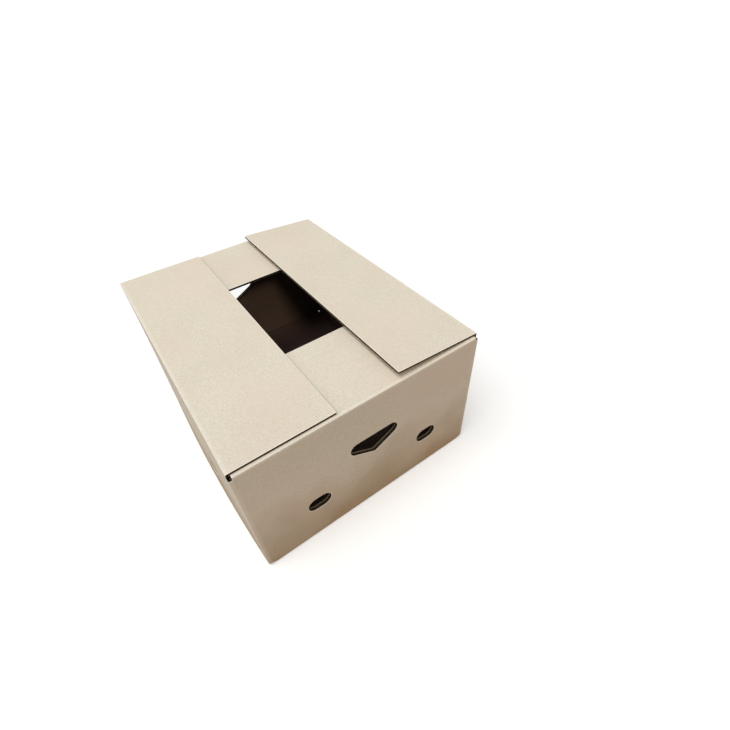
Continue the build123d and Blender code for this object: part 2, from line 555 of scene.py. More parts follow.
@dataclass(frozen=True)
class Carton:
    """Sizes of the whole carton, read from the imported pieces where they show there."""

    board: Board
    lid_width: float
    lid_length: float
    closed_height: float
    wall_top: float
    skirt: float
    bow: float
    tray_width: float
    tray_length: float
    tray_rim: float
    flap_length: float
    opening_width: float
    opening_length: float = 215 * MM
    end_flap_inset: float = 5.5 * MM
    corner_notch: float = 0.6 * MM
    seam_gap: float = 1.0 * MM
    tab_width: float = 35 * MM
    tab_thickness: float = 2.0 * MM
    tab_relief: float = 6.0 * MM
    nip_run: float = 13 * MM
    nip_rise: float = 4.5 * MM

    @classmethod
    def measured(cls) -> "Carton":
        """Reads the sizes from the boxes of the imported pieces."""
        lid_low, lid_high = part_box("lid")
        tray_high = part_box("base_tray")[1]
        flap_low, flap_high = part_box("lid_flap_left")
        return cls(
            board=Board(flap_high.z - flap_low.z),
            lid_width=-2 * flap_low.x,
            lid_length=2 * lid_high.y,
            closed_height=flap_high.z,
            wall_top=lid_high.z,
            skirt=lid_low.z,
            bow=lid_high.x + flap_low.x,
            tray_width=2 * tray_high.x,
            tray_length=2 * tray_high.y,
            tray_rim=tray_high.z,
            flap_length=2 * flap_high.y,
            opening_width=-2 * flap_high.x,
        )

    @property
    def side_flap_inset(self) -> float:
        """How far a side flap stops short of the end walls' outer faces."""
        return (self.lid_length - self.flap_length) / 2


@dataclass(frozen=True)
class CutOuts:
    """The grips and the oval vents, cut alike through the tray and the lid."""

    closed_height: float
    shift: float = 3.3 * MM
    hand_width: float = 84 * MM
    hand_height: float = 41 * MM
    hand_drop: float = 83.5 * MM
    hand_end_radius: float = 12.2 * MM
    hand_point_radius: float = 4 * MM
    vent_length: float = 39 * MM
    vent_width: float = 27 * MM
    vent_height: float = 84 * MM
    end_vent_spacing: float = 205.5 * MM
    side_vent_spacing: float = 190 * MM
    steps: int = 44

    def around(self, circles: Iterable[Triple]) -> list[Vector]:
        """The tight line round some circles.

        Args:
            circles: centre across, centre height and radius of each.

        Returns:
            The line's points, across the wall and up it.
        """
        points = []
        for across, height, radius in circles:
            for step in range(self.steps):
                angle = 2 * math.pi * step / self.steps
                spot = (across + radius * math.cos(angle), height + radius * math.sin(angle))
                points.append(Vector(spot))
        return [points[index] for index in convex_hull_2d(points)]

    def hand_hole(self, middle: float) -> list[Vector]:
        """The grip: flat on top, round at its ends and pointed below.

        Args:
            middle: its middle across the wall.

        Returns:
            Its outline.
        """
        top = self.closed_height - self.hand_drop
        reach = self.hand_width / 2 - self.hand_end_radius
        level = top - self.hand_end_radius
        return self.around([
            (middle - reach, level, self.hand_end_radius),
            (middle + reach, level, self.hand_end_radius),
            (middle, top - self.hand_height + self.hand_point_radius, self.hand_point_radius),
        ])

    def vent(self, middle: float) -> list[Vector]:
        """One oval vent.

        Args:
            middle: its middle across the wall.

        Returns:
            Its outline.
        """
        radius = self.vent_width / 2
        reach = self.vent_length / 2 - radius
        return self.around([(middle + side * reach, self.vent_height, radius) for side in (-1, 1)])

    def on(self, wall: Wall) -> list[list[Vector]]:
        """Every cut-out of a wall.

        Args:
            wall: the wall.

        Returns:
            The outlines, by X or Y across the wall and by height.
        """
        if wall in (Wall.LEFT, Wall.RIGHT):
            return [self.vent(side * self.side_vent_spacing / 2) for side in (-1, 1)]
        if wall is Wall.FAR:
            return [self.hand_hole(-self.shift)]
        vents = [self.vent(self.shift + side * self.end_vent_spacing / 2) for side in (-1, 1)]
        return [self.hand_hole(self.shift), *vents]


@dataclass(frozen=True)
class Span:
    """One straight or turning stretch of a wall line."""

    start: float
    length: float
    foot: Vector
    heading: Vector
    radius: float = 0.0

    @property
    def end(self) -> float:
        """Where the span ends on the blank."""
        return self.start + self.length

    def at(self, along: float) -> tuple[Vector, Vector]:
        """Finds a place on the span.

        Args:
            along: the distance from the span's start.

        Returns:
            The outer point and the inward direction there.
        """
        inward = Vector((-self.heading.y, self.heading.x))
        if not self.radius:
            return self.foot + self.heading * along, inward
        angle = QUARTER_TURN * along / self.length
        spoke = Matrix.Rotation(angle, 2) @ -inward
        back, on = turned(angle)
        return self.foot + (inward * (1 - back) + self.heading * on) * self.radius, -spoke


@dataclass
class WallLine:
    """The outer line of a sheet's walls seen from above, from its raw end to its glue tab."""

    width: float
    depth: float
    carton: Carton
    spans: list[Span] = field(default_factory=list, init=False)

    def __post_init__(self) -> None:
        """Walks round the walls, from the raw end at the far right corner."""
        thick, gap, turn = self.carton.board.thickness, self.carton.seam_gap, self.corner
        tab_radius = thick
        self._point = Vector((self.half_width - gap, self.half_depth))
        self._heading = Vector((-1.0, 0.0))
        self._run(self.width - gap - turn)
        for reach in (self.depth - 2 * turn, self.width - 2 * turn):
            self._turn(turn)
            self._run(reach)
        self._turn(turn)
        self._run(self.depth - turn - thick - tab_radius)
        self._turn(tab_radius)
        self._run(self.carton.tab_width + thick - tab_radius)

    @property
    def half_width(self) -> float:
        """Half the size along X."""
        return self.width / 2

    @property
    def half_depth(self) -> float:
        """Half the size along Y."""
        return self.depth / 2

    @property
    def corner(self) -> float:
        """Outer radius of the corners."""
        return self.carton.board.corner_radius

    @property
    def girth(self) -> float:
        """Length of the whole blank round the walls."""
        return self.spans[-1].end if self.spans else 0.0

    @property
    def tab_turn(self) -> Span:
        """The turn into the glue tab."""
        return self.spans[-2]

    def _run(self, length: float) -> None:
        """Goes straight on."""
        self.spans.append(Span(self.girth, length, self._point.copy(), self._heading.copy()))
        self._point = self._point + self._heading * length

    def _turn(self, radius: float) -> None:
        """Turns a quarter to the left, measured along the middle of the board.

        Args:
            radius: the turn's outer radius.
        """
        length = QUARTER_TURN * (radius - self.carton.board.thickness / 2)
        self.spans.append(Span(self.girth, length, self._point.copy(), self._heading.copy(), radius))
        inward = Vector((-self._heading.y, self._heading.x))
        self._point = self._point + (self._heading + inward) * radius
        self._heading = inward

    def index(self, u: float) -> int:
        """The number of the span that holds a place on the blank."""
        held = (number for number, span in enumerate(self.spans) if u <= span.end + TOUCHING)
        return next(held, len(self.spans) - 1)

    def flat(self, wall: Wall, across: float) -> float:
        """Where a place on a wall lies on the blank.

        Args:
            wall: the wall.
            across: the place's X on an end wall, or its Y on a side wall.

        Returns:
            Its distance round the blank.
        """
        span = self.spans[wall.value]
        if wall in (Wall.NEAR, Wall.FAR):
            return span.start + (across - span.foot.x) * span.heading.x
        return span.start + (across - span.foot.y) * span.heading.y


@dataclass(frozen=True)
class Fold:
    """A crease where a wall turns inwards into a flap."""

    level: float
    end: End
    radius: float
    thickness: float
    shrink: float = 0.0

    @property
    def side(self) -> int:
        """1 where the wall turns at its top and -1 where it turns at its bottom."""
        return self.end.value

    @property
    def crease(self) -> float:
        """Height where the wall begins to turn."""
        return self.level - self.side * self.radius

    @property
    def arc(self) -> float:
        """Length of the turn, measured along the middle of the board."""
        return QUARTER_TURN * (self.radius - self.thickness / 2)

    def reach(self, distance: float) -> float:
        """Where a flap's place, by its distance from the wall's outer face, lies on the blank."""
        return self.crease + self.side * (self.arc + distance - self.radius)

    def at(self, v: float, w: float) -> Point:
        """Folds a place on the blank.

        Args:
            v: its height on the blank.
            w: its depth in the board.

        Returns:
            Its distance in from the wall's outer face, and its height.
        """
        past = self.side * (v - self.crease)
        if past <= 0:
            return w, v
        if past < self.arc:
            angle = QUARTER_TURN * past / self.arc
            radius = self.radius - w
            if self.shrink:
                eased = min(1, 4 * past / self.arc)
                radius = max(radius - self.shrink * (1 - w / self.thickness) * eased, 0)
            back, on = turned(angle)
            return self.radius - radius * back, self.crease + self.side * radius * on
        return self.radius + past - self.arc, self.level - self.side * (w + self.shrink)

    def rows(self) -> list[float]:
        """Heights on the blank where the fold needs a row of points."""
        turns = [self.crease + self.side * self.arc * step / FOLD_STEPS for step in range(FOLD_STEPS + 1)]
        return [self.crease - self.side * FOLD_MARGIN, *turns, turns[-1] + self.side * FOLD_MARGIN]


class BoardMesh:
    """A mesh in the making, whose points know their place on the blank and their masks of painted light and
    shade.
    """

    def __init__(self) -> None:
        """Starts an empty mesh with the two layers that the finishes read."""
        self.mesh = bmesh.new()
        self._flat = self.mesh.verts.layers.float_vector.new("flat")
        self._shading_masks = self.mesh.verts.layers.float_vector.new("wear")

    def point(self, spot: Vector, flat: Triple, wear: Triple) -> bmesh.types.BMVert:
        """Adds a point.

        Args:
            spot: its place on the carton.
            flat: its place on the blank, as u, v and w.
            wear: how strongly it takes the painted light and shade of a cut edge and of a fold, and how deep
                it lies in the board.

        Returns:
            The point.
        """
        vert = self.mesh.verts.new(spot)
        vert[self._flat] = flat
        vert[self._shading_masks] = wear
        return vert

    def face(self, corners: Sequence[bmesh.types.BMVert], kind: Face) -> None:
        """Adds a face with a finish."""
        self.mesh.faces.new(corners).material_index = kind.value

    def finished(self, name: str, crisp: float) -> bpy.types.Object:
        """Ends the mesh.

        Args:
            name: the piece's name.
            crisp: the angle in degrees from which an edge shows sharp.

        Returns:
            The piece, in the scene.
        """
        made = bpy.data.meshes.new(name)
        self.mesh.to_mesh(made)
        self.mesh.free()
        made.polygons.foreach_set("use_smooth", [True] * len(made.polygons))
        made.set_sharp_from_angle(angle=math.radians(crisp))
        piece = bpy.data.objects.new(name, made)
        bpy.context.scene.collection.objects.link(piece)
        return piece


@dataclass(frozen=True)
class RimPoint:
    """A point of a blank's rim: its way into the board, and whether the edge after it is cut."""

    vert: bmesh.types.BMVert
    way: Vector
    is_cut: bool


@dataclass
class Sheet:
    """A board blank that is folded into shape: its outline, cut-outs, creases and place."""

    name: str
    board: Board
    place: Place
    fold_shading: ShadingMask
    outline: list[Point]
    holes: list[list[Point]]
    columns: list[float]
    rows: list[float]
    folded_edges: list[float]
    flute_steps: int = 7
    groove_steps: int = 4
    smooth_turn: float = 0.15
    crisp: float = 24.0
    snap_gap: float = 1e-7
    fill_gap: float = 0.04 * MM
    weld_gap: float = 2e-6

    def build(self) -> bpy.types.Object:
        """Makes the folded sheet with its open edges, as one object."""
        flat = self._filled()
        rims = [self._with_ways(rim) for rim in self._rims(flat)]
        solid = BoardMesh()
        mesh = solid.mesh
        self._add_faces(solid, flat, rims)
        bmesh.ops.remove_doubles(mesh, verts=mesh.verts[:], dist=self.weld_gap)
        bmesh.ops.dissolve_degenerate(mesh, edges=mesh.edges[:], dist=TOUCHING)
        bmesh.ops.recalc_face_normals(mesh, faces=mesh.faces[:])
        for rim in rims:
            self._add_medium(solid, rim)
        flat.free()
        return solid.finished(self.name, self.crisp)

    def _folded(self, solid: BoardMesh, u: float, v: float, w: float, cut: float = 0.0) -> bmesh.types.BMVert:
        """Adds one folded point.

        Args:
            solid: the mesh in the making.
            u: its distance round the blank.
            v: its height on the blank.
            w: its depth in the board.
            cut: how near it is to a cut edge, 0 to 1, which sets its painted edge light and shade.

        Returns:
            The point.
        """
        # Masks of painted light and shade by the cut edge and by the fold, then the depth in the board.
        wear = (cut, self.fold_shading(u, v), w / self.board.thickness)
        return solid.point(self.place(u, v, w), (u, v, w), wear)

    def _filled(self) -> bmesh.types.BMesh:
        """The flat blank inside its edge bands as triangles, cut along every row and column."""
        flat = bmesh.new()
        for loop in [facing(self.outline, 1), *(facing(hole, -1) for hole in self.holes)]:
            inset = [point + way * self.board.edge_band for point, (way, _) in zip(loop, self._ways(loop))]
            verts = [flat.verts.new((point.x, point.y, 0.0)) for point in inset]
            for first, second in zip(verts, verts[1:] + verts[:1]):
                flat.edges.new((first, second))
        bmesh.ops.triangle_fill(flat, use_beauty=True, use_dissolve=False, edges=flat.edges[:])
        for places, normal in ((self.columns, Vector((1, 0, 0))), (self.rows, Vector((0, 1, 0)))):
            for place in sorted(set(places)):
                parts = flat.verts[:] + flat.edges[:] + flat.faces[:]
                middle = normal * place
                bmesh.ops.bisect_plane(flat, geom=parts, dist=self.snap_gap, plane_co=middle, plane_no=normal)
        bmesh.ops.remove_doubles(flat, verts=flat.verts[:], dist=self.fill_gap)
        for face in flat.faces:
            if face.normal.z < 0:
                face.normal_flip()
        flat.verts.index_update()
        return flat

    def _rims(self, flat: bmesh.types.BMesh) -> Iterator[list[bmesh.types.BMVert]]:
        """Finds each edge loop of the blank.

        Args:
            flat: the filled blank.

        Yields:
            The loop's points in order, with the board on their left.
        """
        following = {}
        for edge in flat.edges:
            if len(edge.link_faces) == 1:
                loop = edge.link_loops[0]
                following[loop.vert] = loop.link_loop_next.vert
        while following:
            rim = [next(iter(following))]
            while rim[-1] in following:
                rim.append(following.pop(rim[-1]))
            yield rim[:-1]

    def _is_cut(self, first: Vector, second: Vector) -> bool:
        """Whether the edge between two points is cut, so that its flutes are open, and isn't a crease."""
        return not any(max(abs(first.y - v), abs(second.y - v)) < TOUCHING for v in self.folded_edges)

    def _ways(self, loop: list[Vector]) -> list[tuple[Vector, bool]]:
        """The way into the board at each point of a loop, and whether the edge after it is cut.

        Args:
            loop: the points in order, with the board on their left.

        Returns:
            For each point the step that moves both its edges in by one unit, and the edge's kind.
        """
        ways = []
        for before, here, after in zip(loop[-1:] + loop[:-1], loop, loop[1:] + loop[:1]):
            steps = []
            for first, second in ((before, here), (here, after)):
                along = (second - first).normalized()
                steps.append((Vector((-along.y, along.x)), float(self._is_cut(first, second))))
            (first_way, first_size), (second_way, second_size) = steps
            turn = first_way.cross(second_way)
            if abs(turn) < self.smooth_turn:
                way = (first_way + second_way).normalized() * (first_size + second_size) / 2
            else:
                way = Vector((first_size * second_way.y - second_size * first_way.y,
                              second_size * first_way.x - first_size * second_way.x)) / turn
            ways.append((way, bool(second_size)))
        return ways

    def _with_ways(self, rim: list[bmesh.types.BMVert]) -> list[RimPoint]:
        """Gives each point of a rim its way into the board and its next edge's kind."""
        ways = self._ways([vert.co.xy for vert in rim])
        return [RimPoint(vert, way, is_cut) for vert, (way, is_cut) in zip(rim, ways)]

    def _add_faces(self, solid: BoardMesh, flat: bmesh.types.BMesh, rims: list[list[RimPoint]]) -> None:
        """Adds both liners' faces and the section of every rim between them.

        Args:
            solid: the mesh in the making.
            flat: the filled blank.
            rims: its edge loops.
        """
        section = self.board.rim()
        thick, wear = self.board.thickness, self.board.edge_band
        rings: dict[int, list[bmesh.types.BMVert]] = {}
        for rim in rims:
            for spot in rim:
                ring = []
                for back, depth, _ in section:
                    u, v = spot.vert.co.xy + spot.way * (back - wear)
                    # The point takes the painted edge light and shade by how near it lies to the cut.
                    ring.append(self._folded(solid, u, v, depth, 1 - min(back / wear, 1)))
                rings[spot.vert.index] = ring
        outer: dict[int, bmesh.types.BMVert] = {}
        inner: dict[int, bmesh.types.BMVert] = {}
        for vert in flat.verts:
            ring = rings.get(vert.index)
            outer[vert.index] = ring[0] if ring else self._folded(solid, vert.co.x, vert.co.y, 0.0)
            inner[vert.index] = ring[-1] if ring else self._folded(solid, vert.co.x, vert.co.y, thick)
        for face in flat.faces:
            solid.face([outer[vert.index] for vert in face.verts], Face.OUTSIDE)
            solid.face([inner[vert.index] for vert in reversed(face.verts)], Face.INSIDE)
        for rim in rims:
            for spot, after in zip(rim, rim[1:] + rim[:1]):
                one, two = rings[spot.vert.index], rings[after.vert.index]
                for step, (_, _, kind) in enumerate(section[:-1]):
                    quad = (one[step], one[step + 1], two[step + 1], two[step])
                    solid.face(quad, kind if spot.is_cut else Face.INSIDE)

    def _add_medium(self, solid: BoardMesh, rim: list[RimPoint]) -> None:
        """Adds the fluted medium that shows between the liners along one rim.

        Args:
            solid: the mesh in the making.
            rim: the edge loop.
        """
        board = self.board
        rows, kinds = [], []
        for spot, after in zip(rim, rim[1:] + rim[:1]):
            run = after.vert.co.xy - spot.vert.co.xy
            count = max(1, math.ceil(abs(run.x) / (board.pitch / self.flute_steps)))
            for step in range(count):
                share = step / count
                rows.append((spot.vert.co.xy + run * share, spot.way.lerp(after.way, share)))
                kinds.append(spot.is_cut)
        ribbon = []
        for place, way in rows:
            top, bottom = [], []
            for step in range(self.groove_steps + 1):
                back = board.lip + (board.groove - board.lip) * step / self.groove_steps - board.edge_band
                u, v = place + way * back
                depth = board.wave(u)
                top.append(self._folded(solid, u, v, depth - board.medium / 2))
                bottom.append(self._folded(solid, u, v, depth + board.medium / 2))
            ribbon.append(top + bottom[::-1])
        for number, is_cut in enumerate(kinds):
            if not is_cut:
                continue
            one, two = ribbon[number], ribbon[(number + 1) % len(ribbon)]
            for step in range(len(one)):
                after = (step + 1) % len(one)
                solid.face((one[step], two[step], two[after], one[after]), Face.FLUTE)
            if not kinds[number - 1]:
                solid.face(one, Face.FLUTE)
            if not kinds[(number + 1) % len(kinds)]:
                solid.face(two[::-1], Face.FLUTE)
        loose = [vert for vert in solid.mesh.verts if not vert.link_faces]
        bmesh.ops.delete(solid.mesh, geom=loose, context="VERTS")


def fold_shading_cover(away: Iterable[float]) -> float:
    """How strongly the painted fold light and shade cover a place, 0 to 1, by its distances from some folds.
    """
    return max(0.0, min(1.0, 1 - min(away) / FOLD_MARGIN))


def settle(piece: bpy.types.Object, body: str, node: str, finishes: Finishes) -> bpy.types.Object:
    """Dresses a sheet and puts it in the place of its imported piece.

    Args:
        piece: the sheet.
        body: the body that it moves with.
        node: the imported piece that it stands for.
        finishes: its materials.

    Returns:
        The sheet.
    """
    finishes.dress(piece)
    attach(piece, body)
    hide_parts(node)
    return piece


@dataclass
class FoldedWalls:
    """Four walls in a ring with their flaps: the shared form of the tray and the lid."""

    carton: Carton
    width: float
    length: float
    end_fold: Fold
    side_fold: Fold
    bow: float = 0.0
    line: WallLine = field(init=False)

    def __post_init__(self) -> None:
        """Draws the walls' line seen from above."""
        self.line = WallLine(self.width, self.length, self.carton)

    def _fold_on(self, number: int) -> Fold | None:
        """The fold between a span and its flap.

        Args:
            number: the span's number in the wall line.

        Returns:
            The fold, or nothing where the span has no flap.
        """
        if number in (Wall.NEAR.value, Wall.FAR.value):
            return self.end_fold
        if number in (Wall.LEFT.value, Wall.RIGHT.value):
            return self.side_fold
        return None

    def place(self, u: float, v: float, w: float) -> Vector:
        """Folds a place on the blank into its place on the carton.

        Args:
            u: its distance round the blank.
            v: its height on the blank.
            w: its depth in the board.

        Returns:
            Where it ends up.
        """
        number = self.line.index(u)
        span = self.line.spans[number]
        outer, inward = span.at(u - span.start)
        if number >= len(self.line.spans) - 2:
            squeeze = self.carton.tab_thickness / self.carton.board.thickness
            share = 1.0 if number == len(self.line.spans) - 1 else (u - span.start) / span.length
            w *= 1 + (squeeze - 1) * share
        fold = self._fold_on(number)
        depth, height = fold.at(v, w) if fold else (w, v)
        spot = outer + inward * depth
        return Vector((spot.x + self._bowed(spot, height), spot.y, height))

    def _bowed(self, spot: Vector, height: float) -> float:
        """How far the long walls stand out, most in the middle of the free edge.

        Args:
            spot: a place seen from above.
            height: its height.

        Returns:
            The shift along X.
        """
        if not self.bow:
            return 0.0
        near_side = (abs(spot.x) - self.width / 2 + self.line.corner) / self.line.corner
        near_side = min(max(near_side, 0.0), 1.0)
        along = max(0.0, 1 - (2 * spot.y / self.length) ** 2)
        down = (self.carton.wall_top - height) / (self.carton.wall_top - self.carton.skirt)
        return math.copysign(self.bow * near_side * along * min(max(down, 0.0), 1.0), spot.x)

    def _holes(self, cut_outs: CutOuts) -> list[list[Point]]:
        """Lays every cut-out out on the blank.

        Args:
            cut_outs: the grips and vents.

        Returns:
            Their outlines on the blank.
        """
        holes = []
        for wall in Wall:
            for outline in cut_outs.on(wall):
                holes.append([(self.line.flat(wall, point.x), point.y) for point in outline])
        return holes

    def _columns(self) -> list[float]:
        """Places round the blank that need a column of points."""
        places = []
        for span in self.line.spans:
            if span.radius:
                places += [span.start + span.length * part / FOLD_STEPS for part in range(FOLD_STEPS + 1)]
            else:
                first, last = span.start + FOLD_MARGIN, span.end - FOLD_MARGIN
                places += [*evenly(first, last, COLUMN_STEP), first, last]
        return [place for place in places if FOLD_MARGIN < place < self.line.girth - FOLD_MARGIN]

    def _wall_rows(self) -> list[float]:
        """Heights up the walls and along the flaps where the blank needs a row of points."""
        fold = self.end_fold
        low, high = sorted((fold.crease, self.carton.closed_height - fold.crease))
        free, root = sorted((fold.reach(self.length / 2 - self.carton.opening_length / 2), fold.crease))
        return [*evenly(low, high, ROW_STEP), *evenly(free + ROW_MARGIN, root - ROW_MARGIN, ROW_STEP)]

    def fold_shading(self, u: float, v: float) -> float:
        """How strongly the painted light and shade of the nearest fold cover a place on the blank.

        Args:
            u: its distance round the blank.
            v: its height on the blank.

        Returns:
            The strength, 0 to 1.
        """
        turns = [span for span in self.line.spans if span.radius]
        away = [abs(u - span.start - span.length / 2) - span.length / 2 for span in turns]
        fold = self._fold_on(self.line.index(u))
        if fold:
            past = fold.side * (v - fold.crease)
            away.append(abs(past - fold.arc / 2) - fold.arc / 2)
        return fold_shading_cover(away)

    def sheet(self, name: str, outline: list[Point], folded_edges: list[float], cut_outs: CutOuts) -> Sheet:
        """The blank that these walls are folded from.

        Args:
            name: name of the finished piece.
            outline: the blank's outline, with the board on its left.
            folded_edges: heights at which an edge is a crease and isn't cut.
            cut_outs: the grips and vents.

        Returns:
            The blank, ready to be built.
        """
        rows = [*self.end_fold.rows(), *self.side_fold.rows(), *self._wall_rows()]
        return Sheet(name, self.carton.board, self.place, self.fold_shading, outline, self._holes(cut_outs),
                     self._columns(), rows, folded_edges)


@dataclass
class Lid(FoldedWalls):
    """The lid: four walls with nipped and bowed skirts, and the two end flaps at the top."""

    nip_depth: float = 0.9
    bead_inset: float = 0.3 * MM

    @classmethod
    def of(cls, carton: Carton) -> "Lid":
        """Sizes the lid, whose side walls run on into the flaps' creases.

        Args:
            carton: the sizes of the whole carton.

        Returns:
            The lid, ready to be built.
        """
        thick = carton.board.thickness
        return cls(
            carton, carton.lid_width, carton.lid_length,
            end_fold=Fold(carton.wall_top, End.TOP, thick, thick),
            side_fold=Fold(carton.closed_height, End.TOP, thick, thick, shrink=0.15 * MM),
            bow=carton.bow,
        )

    @property
    def bead_top(self) -> float:
        """Height on the blank where a side wall runs on into its flap's crease."""
        return self.side_fold.crease + self.side_fold.arc

    def _skirt_points(self) -> list[Point]:
        """The free edge along the bottom, with its nipped corners."""
        carton, line = self.carton, self.line
        run, rise, skirt = carton.nip_run, carton.nip_rise, carton.skirt
        straight = run - line.corner
        points = [(0.0, skirt + rise * (1 - carton.seam_gap / run)), (run - carton.seam_gap, skirt)]
        for turn in (line.spans[1], line.spans[3], line.spans[5]):
            points.append((turn.start - straight, skirt))
            points.append((turn.start + turn.length / 2, skirt + self.nip_depth * rise))
            points.append((turn.end + straight, skirt))
        return [*points, (line.flat(Wall.RIGHT, line.half_depth - run), skirt)]

    def outline(self) -> list[Point]:
        """The blank's outline: along the skirt, up the glue tab and back along the flaps."""
        carton, line = self.carton, self.line
        relief, root = carton.tab_relief, line.tab_turn.end
        high = carton.wall_top - carton.board.thickness
        low_corner = high - carton.corner_notch
        tab = [(root, carton.skirt + relief / 2), (line.girth, carton.skirt + relief),
               (line.girth, high - relief), (root, high - relief / 2)]
        across = line.half_width - carton.end_flap_inset
        side = line.half_depth - carton.side_flap_inset - self.bead_inset
        free = self.end_fold.reach(line.half_depth - carton.opening_length / 2)
        flaps = [
            (line.tab_turn.start, line.flat(Wall.RIGHT, -side), self.bead_top),
            (line.flat(Wall.NEAR, across), line.flat(Wall.NEAR, -across), free),
            (line.flat(Wall.LEFT, -side), line.flat(Wall.LEFT, side), self.bead_top),
            (line.flat(Wall.FAR, -across), line.flat(Wall.FAR, across), free),
        ]
        points = [*self._skirt_points(), *tab]
        for first, last, top in flaps:
            points += [(first, low_corner), (first, top), (last, top), (last, low_corner)]
        return [*points, (0.0, low_corner)]

    def build(self, cut_outs: CutOuts, finishes: Finishes) -> bpy.types.Object:
        """Builds and dresses the lid as one folded sheet."""
        blank = self.sheet("lid_sheet", self.outline(), [self.bead_top], cut_outs)
        return settle(blank.build(), "lid", "lid", finishes)


@dataclass
class Tray(FoldedWalls):
    """The tray: four walls open at the top, with four flaps glued across its bottom."""

    flap_clearance: float = 0.1 * MM

    @classmethod
    def of(cls, carton: Carton) -> "Tray":
        """Sizes the tray, whose end flaps lie over its side flaps.

        Args:
            carton: the sizes of the whole carton.

        Returns:
            The tray, ready to be built.
        """
        thick = carton.board.thickness
        return cls(
            carton, carton.tray_width, carton.tray_length,
            end_fold=Fold(thick, End.BOTTOM, thick, thick),
            side_fold=Fold(0.0, End.BOTTOM, thick, thick),
        )

    def outline(self) -> list[Point]:
        """The blank's outline: along the flaps, up the glue tab and back along the rim."""
        carton, line, thick = self.carton, self.line, self.carton.board.thickness
        relief, rim, root = carton.tab_relief, carton.tray_rim, line.tab_turn.end
        across = line.half_width - carton.end_flap_inset
        side = line.half_depth - line.corner - self.flap_clearance
        corner = 2 * thick + carton.corner_notch
        end_free = self.end_fold.reach(line.half_depth - carton.opening_length / 2)
        side_free = self.side_fold.reach(line.half_width - carton.opening_width / 2)
        flaps = [
            (line.flat(Wall.FAR, across), line.flat(Wall.FAR, -across), end_free),
            (line.flat(Wall.LEFT, side), line.flat(Wall.LEFT, -side), side_free),
            (line.flat(Wall.NEAR, -across), line.flat(Wall.NEAR, across), end_free),
            (line.flat(Wall.RIGHT, -side), line.tab_turn.start, side_free),
        ]
        points = [(0.0, corner)]
        for first, last, low in flaps:
            points += [(first, corner), (first, low), (last, low), (last, corner)]
        tab = [(root, 2 * thick + relief / 2), (line.girth, 2 * thick + relief),
               (line.girth, rim - relief), (root, rim - relief / 2)]
        return [*points, *tab, (line.tab_turn.start, rim), (0.0, rim)]

    def build(self, cut_outs: CutOuts, finishes: Finishes) -> bpy.types.Object:
        """Builds and dresses the tray as one folded sheet."""
        blank = self.sheet("tray_sheet", self.outline(), [], cut_outs)
        return settle(blank.build(), "tray", "base_tray", finishes)


